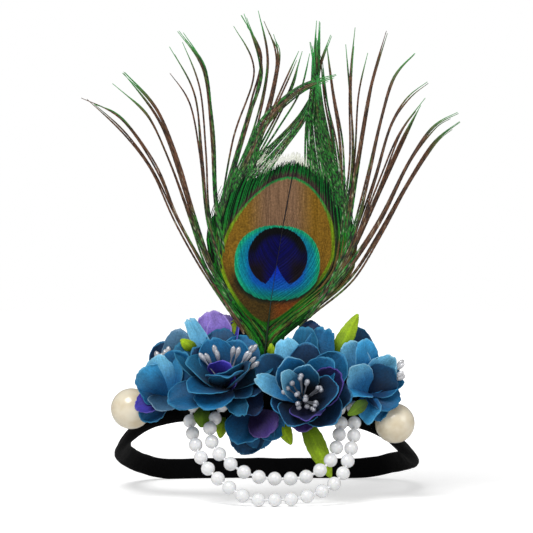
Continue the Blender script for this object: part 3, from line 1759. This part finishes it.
LEFT = Flower(
    "left", "flower_left", (-36.5, -1.5, 37.5), (-0.62, -0.30, 0.74),
    petals=(
        Petal(126, 11, 16, 12, -30, 0.35, T.AZURE, 4),
        Petal(43, 27, 17, 11.5, -30, 0.35, T.SKY, -87),
        Petal(46, 45, 17, 8, -20, 0.30, T.AZURE, 79),
        Petal(143, 85, 10.5, 10.5, -20, 0.25, T.SLATE, -44),
        Petal(205, 32, 12, 9, 10, 0.25, T.OCEAN, -85, point=1),
        Petal(15, 49, 24.5, 9.5, -10, 0.20, T.SLATE, 55),
        Petal(9, 56, 24, 9, -10, 0.20, T.AZURE, 68),
        Petal(47, 54, 20, 12, -15, 0.25, T.OCEAN, 76),
        Petal(350, 40, 20, 11, -20, 0.25, T.HOLLOW, 45),
        Petal(295, 48, 16, 10, -20, 0.30, T.AZURE),
        Petal(200, 67, 13, 9, -10, 0.20, T.VIOLET, -37),
        Petal(202, 88, 13.5, 10, -10, 0.20, T.OCEAN, -50),
    ),
    stamens=(
        Stamen(345, 28, 17), Stamen(335, 38, 18.5), Stamen(350, 42, 19),
        Stamen(10, 38, 18), Stamen(25, 44, 16.5), Stamen(20, 28, 16.5),
    ),
    bulb_radius=1.15,
    bulb_length=4.6,
    bulbs_each=3,
)
RIGHT = Flower(
    "right", "flower_right", (35, -2, 38.5), (0.68, -0.35, 0.63),
    petals=(
        Petal(4, 65, 24.5, 10, -15, 0.25, T.DEEP, -59),
        Petal(341, 68, 20.5, 10, -20, 0.30, T.SKY, -58),
        Petal(344, 49, 20, 9, -20, 0.30, T.AZURE, -41),
        Petal(7, 15, 17, 10, -15, 0.25, T.SKY, -71, point=0.9),
        Petal(302, 68, 16, 10, -15, 0.25, T.SKY, -69),
        Petal(268, 8, 14.5, 11, -10, 0.25, T.DEEP, 17, point=0.6),
        Petal(76, 25, 15, 8, 0, 0.25, T.TEAL, 7, point=0.9),
        Petal(138, 26, 13.5, 9.5, -5, 0.25, T.OCEAN, 22, point=0.9),
        Petal(171, 55, 12.5, 10, 10, 0.25, T.OCEAN, 55),
        Petal(276, 92, 12, 9.5, 0, 0.20, T.AZURE, 21, point=0.9),
        Petal(211, 110, 13, 8.5, 0, 0.25, T.AZURE, 53, point=1.1),
        Petal(175, 96, 11.5, 9, 0, 0.25, T.OCEAN, 50),
    ),
    stamens=(Stamen(75, 16, 18.5), Stamen(90, 5, 18), Stamen(150, 16, 17.5), Stamen(180, 12, 17)),
)
BOTTOM = Flower(
    "bottom", "blossom_bottom", (-5.5, -7, 32), (-0.15, -0.72, -0.68),
    petals=(
        Petal(250, 25, 15, 12, -15, 0.25, T.OCEAN, 54),
        Petal(204, 46, 16, 11.5, -5, 0.20, T.DEEP, 7),
        Petal(97, 36, 13, 10.5, -10, 0.25, T.PLUM, -69),
        Petal(167, 46, 13.5, 10.5, -5, 0.20, T.OCEAN, -22),
        Petal(127, 66, 13, 9.5, -5, 0.20, T.OCEAN, -49),
    ),
)
TOP = Flower(
    "top", "bud_top", (-17.5, -5.5, 49), (-0.10, 0.05, 0.99),
    petals=(
        Petal(214, 15, 20.5, 11.5, -25, 0.40, T.LILAC, -35),
        Petal(262, 24, 20, 11, -30, 0.35, T.LILAC, 26),
        Petal(290, 30, 17, 10, -20, 0.30, T.VIOLET),
    ),
)
LEAVES = Leaves(
    leaves=(
        Leaf((-26.5, -6.5, 53.5), (-32, -9.5, 57.8), 4.6, 0.8, T.LIME),
        Leaf((-14.5, -1.5, 56), (-11.4, 1, 65.8), 6, 0.8, T.LIME),
        Leaf((0.5, -7.5, 50.5), (0.2, -9, 56.4), 3.2, 0.5, T.LIME),
        Leaf((22.5, -3, 50), (31.4, -1, 66.8), 6.6, 1.2, T.LIME),
        Leaf((34.3, -9.6, 35.9), (27.4, -14.5, 31.2), 4.6, 0.5, T.OLIVE),
        Leaf((-24, -7.5, 33.5), (-24.6, -9.5, 26.6), 6.4, 0.5, T.OLIVE),
        Leaf((-17, -5, 30), (-18, -6.5, 22.6), 4.4, 0.5, T.LIME),
        Leaf((2.4, -4.5, 30.5), (7.4, -8.5, 20.4), 5.6, 0.5, T.LIME),
        Leaf((12, -8, 29.5), (21.4, -14, 9), 7.4, 1.6, T.LIME),
    )
)
LOOP = Loop(
    stations=(
        Station(-1, 0, 31.8, 0),
        Station(-20, 1, 32.2, 0),
        Station(-33.5, 4, 31.6, 8),
        Station(-43.8, 10.8, 28.4, 20),
        Station(-51.6, 24, 22, 34),
        Station(-55.2, 40, 17, 38),
        Station(-56.1, 54, 14, 36),
        Station(-55.2, 68, 11, 28),
        Station(-50, 84, 7, 12),
        Station(-40, 95, 4, 0),
        Station(-22, 100, 4, 0),
        Station(0, 101.5, 4, 0),
        Station(22, 100, 4, 0),
        Station(38.5, 94.5, 4.6, 0),
        Station(47.4, 84.5, 7.2, 12),
        Station(52.7, 69, 9.6, 26),
        Station(53.7, 54, 11.6, 34),
        Station(52, 38, 14.2, 36),
        Station(48.2, 24, 18, 32),
        Station(41.5, 11, 24.6, 20),
        Station(31.5, 3.8, 29.4, 8),
        Station(18, 0.8, 31.3, 0),
    )
)
OUTER_SWAG = Swag(
    "pearls_outer", "pearl_strand_outer",
    route=(
        (-27.6, -4.4, 34), (-28.8, -5.6, 28.8), (-27.7, -9.6, 24.3), (-26.4, -13.9, 20.2),
        (-24.2, -17.4, 15.6), (-21.4, -21, 12), (-17.8, -23.9, 8.9), (-14.2, -26.4, 6.3),
        (-10.2, -28, 4), (-5.2, -28.8, 2.6), (0.2, -28.9, 2.47), (6.2, -28.8, 2.6),
        (11.9, -28.4, 3.5), (17.2, -26.8, 5), (21.7, -24, 7.2), (25.3, -20.6, 10.8),
        (27.2, -16.8, 15), (28.7, -12.8, 19.8), (29.8, -8.8, 24.4), (30, -5.4, 28.6),
        (29.6, -4.2, 33.4),
    ),
)
INNER_SWAG = Swag(
    "pearls_inner", "pearl_strand_inner",
    route=(
        (-17.4, -6.4, 34.2), (-19.4, -7.6, 30.2), (-21.2, -10.6, 28.2), (-21.4, -14, 23.8),
        (-19.4, -16.6, 19.1), (-15.8, -18.8, 15.6), (-11.2, -20.2, 12.4), (-5.8, -21, 10.2),
        (0, -21.3, 9.3), (6.1, -21.2, 9.2), (11.9, -20.6, 9.7), (17.2, -19.2, 11.9),
        (21.2, -16.8, 15.4), (23.4, -13.8, 20), (24.5, -10.4, 24.6), (25.2, -6.6, 28.2),
        (24.6, -4.8, 33),
    ),
)
OUTLINE = (
    (50, -5.6, 2), (55.6, -7.4, 4.6), (58.8, -8.4, 5.6), (63.2, -11.8, 11.4), (70, -16.2, 19.6),
    (76.6, -19.6, 27.4), (83, -22.2, 31), (94, -23.4, 31.8), (103, -22, 29.8), (112, -18.8, 28.2),
    (120, -14.4, 26.6), (125.6, -7.6, 22.8), (128.2, 2, 14.6),
)
QUILL = ((40.5, -3.4), (57, -1.6), (72, 0.2), (86, 2.4), (100, 4.8), (114, 7.4))
LOCKS = (
    Lock(((-14, 68.5), (-24, 84), (-33.5, 101.5), (-41.5, 120), (-54, 137.5), (-68.5, 145)), 1, 2, 0.25),
    Lock(((-14, 67.5), (-24.5, 83.5), (-34, 100.5), (-43, 119), (-53.5, 133), (-66.5, 145)), 1, 2, 0.25),
    Lock(((-16, 75), (-22, 85), (-28, 104), (-33.5, 123), (-41.5, 141.5), (-53.5, 154.5)), 1.2, 3, 0.3),
    Lock(((-16.5, 76.5), (-22.5, 86.5), (-29.5, 106), (-39.5, 135.5), (-53.5, 154.5)), 0.8, 2, 0.2),
    Lock(((-16.5, 75), (-23, 85), (-29.5, 103.5), (-36.5, 122), (-44.5, 138.5), (-57, 150.5)), 1, 2, 0.25),
    Lock(((-19, 85), (-23, 102), (-25.5, 123.5), (-29.5, 143), (-36.5, 154.5)), 0.6, 1, 0.3),
    Lock(((-18.5, 85.5), (-22.5, 101.5), (-25, 122), (-27.5, 146), (-36.5, 164)), 0.8, 2, 0.35),
    Lock(((-18.5, 88), (-22, 104.5), (-23.5, 125), (-25.5, 149), (-32, 166)), 0.6, 1, 0.35),
    Lock(((-17.5, 91.5), (-20, 108.5), (-21, 132.5), (-24, 155.5), (-33.5, 169.5)), 1.2, 3, 0.5),
    Lock(((-17.5, 93), (-20, 110), (-21, 132.5), (-24, 155.5), (-31.5, 169.5)), 0.8, 2, 0.7),
    Lock(((-18, 104.5), (-13.5, 131), (-6, 155), (-13.5, 171.5)), 0.8, 1, 0.4),
    Lock(((-17, 107), (-11.5, 126.5), (-6.5, 145), (-3.5, 161), (-10.5, 176)), 1.6, 3, 0.45),
    Lock(((-16, 110), (-9, 135.5), (-3.5, 155), (-9.5, 176)), 1, 2, 0.6),
    Lock(((-13.5, 114.5), (-5.5, 134), (-1, 158), (-4.5, 177.5)), 1.4, 2, 0.5),
    Lock(((-12, 116), (-4, 132.5), (2.5, 158), (-2, 173.5)), 1.2, 2, 0.5),
    Lock(((-10.5, 117.5), (-2, 137), (3, 159.5), (1.5, 169)), 1, 2, 0.6),
    Lock(((-9, 119), (-2.5, 133), (5, 149.5), (10.5, 162)), 1, 2, 0.6),
    Lock(((-7, 120.5), (0.5, 134.5), (7.5, 149), (11.5, 162.5)), 1.2, 2, 0.6),
    Lock(((-5.5, 121.5), (3, 134), (10.5, 147.5), (14, 161.5)), 1, 1, 0.7),
    Lock(((-5.5, 120), (3.5, 129.5), (11, 138.5), (16.5, 148)), 4, 6, 0.95),
    Lock(((-7.5, 122), (-2.5, 136), (10.5, 148), (24, 153)), 4.5, 7, 0.7),
    Lock(((-1, 120), (5, 128), (11, 136), (15.5, 145)), 2.5, 4, 0.9),
    Lock(((17.5, 118.5), (15.5, 135.5), (16.5, 152.5), (17.5, 173.5)), 5.5, 8, 0.95),
    Lock(((20, 117.5), (17.5, 135.5), (17, 152.5), (14.5, 166)), 2, 3, 0.9),
    Lock(((14, 122), (14, 135.5), (15.5, 149), (15.5, 164)), 3, 4, 0.9),
    Lock(((22, 114), (19.5, 132.5), (17.5, 152.5), (22, 168.5)), 1.4, 2, 0.5),
    Lock(((26, 108), (25.5, 128.5), (22.5, 147.5), (20.5, 164.5)), 1.4, 3, 0.5),
    Lock(((25, 109.5), (23, 128.5), (20, 145), (18.5, 161)), 2.4, 4, 0.7),
    Lock(((24, 110), (20.5, 126.5), (18, 141.5), (17, 153.5)), 4, 7, 0.95),
    Lock(((26, 97), (30, 123.5), (29, 146), (27.5, 165)), 0.6, 1, 0.4),
    Lock(((26, 98.5), (29, 122), (29, 149), (31, 171)), 0.8, 2, 0.4),
    Lock(((27.5, 98.5), (30.5, 123.5), (32, 146), (35.5, 162)), 0.8, 1, 0.3),
    Lock(((27, 95.5), (31.5, 122), (36, 148), (42.5, 169.5)), 1, 2, 0.35),
    Lock(((28, 94.5), (32.5, 125), (37.5, 152.5), (40.5, 164)), 0.6, 1, 0.4),
    Lock(((23, 82), (29.5, 95.5), (35, 115.5), (40, 137), (45, 152.5), (52.5, 161.5)), 1.6, 3, 0.35),
    Lock(((23, 80.5), (30, 93), (37.5, 114.5), (43.5, 134.5), (50, 145), (57.5, 151)), 1.2, 2, 0.35),
    Lock(((22, 78.5), (29.5, 90.5), (39.5, 114.5), (46.5, 131.5), (56, 145)), 1, 2, 0.35),
    Lock(((21, 77), (29, 89), (39.5, 111.5), (48, 130), (54.5, 142.5)), 1.4, 3, 0.25),
    Lock(((19, 73), (29, 85), (39.5, 101), (50, 121.5), (59, 134), (68, 139.5)), 1.8, 3, 0.3),
    Lock(((16.5, 69), (29, 79.5), (39.5, 95.5), (49.5, 113.5), (59.5, 128.5), (69, 136.5)), 1.8, 3, 0.3),
)


def main() -> None:
    """Loads the frame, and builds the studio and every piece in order."""
    logging.basicConfig(level=logging.INFO, format="%(message)s")
    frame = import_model()
    studio = Studio()
    studio.build_camera()
    studio.build_floor()
    studio.build_light()
    velvet = Cloth("black velvet", 0.95, specular=0.06, sheen=0.03, colour=dye(5, 5, 6)).build()
    felt = Cloth("black felt", 0.95, specular=0.1, colour=dye(10, 10, 11), fineness=900.0).build()
    paper = Paper("dyed paper", 0.58, specular=0.35, sheen=0.08).build()
    leaf_paper = Paper(
        "green paper", 0.55, specular=0.35, sheen=0.1, rim_width=0.03, rim_strength=0.5
    ).build()
    ivory = Pearl("ivory pearl", 0.3, colour=dye(246, 235, 210), cloud=dye(228, 211, 176)).build()
    white = Pearl("white pearl", 0.2, colour=dye(252, 252, 252), cloud=dye(248, 248, 250)).build()
    lacquer = Tinted("stamen lacquer", 0.3, specular=0.6, coat=0.5, metallic=0.25, depth=0.2).build()
    barbs = Tinted("loose barbs", 0.5, specular=0.4, metallic=0.15, depth=0.6).build()
    eye = Eye("feather eye", 0.55, specular=0.12, metallic=0.2)
    LOOP.build(velvet)
    felt_pad = frame["nodes"]["felt_backing"]
    felt_pad.data.materials.clear()
    felt_pad.data.materials.append(felt)
    pearls = (EndPearl("pearl_ball_left", "pearl_left"), EndPearl("pearl_ball_right", "pearl_right"))
    for pearl in pearls:
        pearl.build(ivory)
    keepouts = [pearl.keepout() for pearl in pearls]
    for flower in (LEFT_CENTRE, RIGHT_CENTRE, LEFT, RIGHT, BOTTOM, TOP):
        flower.build_petals(paper, keepouts)
        flower.build_stamens(lacquer)
    LEAVES.build(leaf_paper)
    for swag in (OUTER_SWAG, INNER_SWAG):
        swag.build(white)
    feather = Feather(eye, OUTLINE, QUILL, LOCKS)
    feather.build_quill(barbs)
    feather.build_eye(eye.build())
    feather.build_loose_barbs(barbs)


if __name__ == "__main__":
    main()
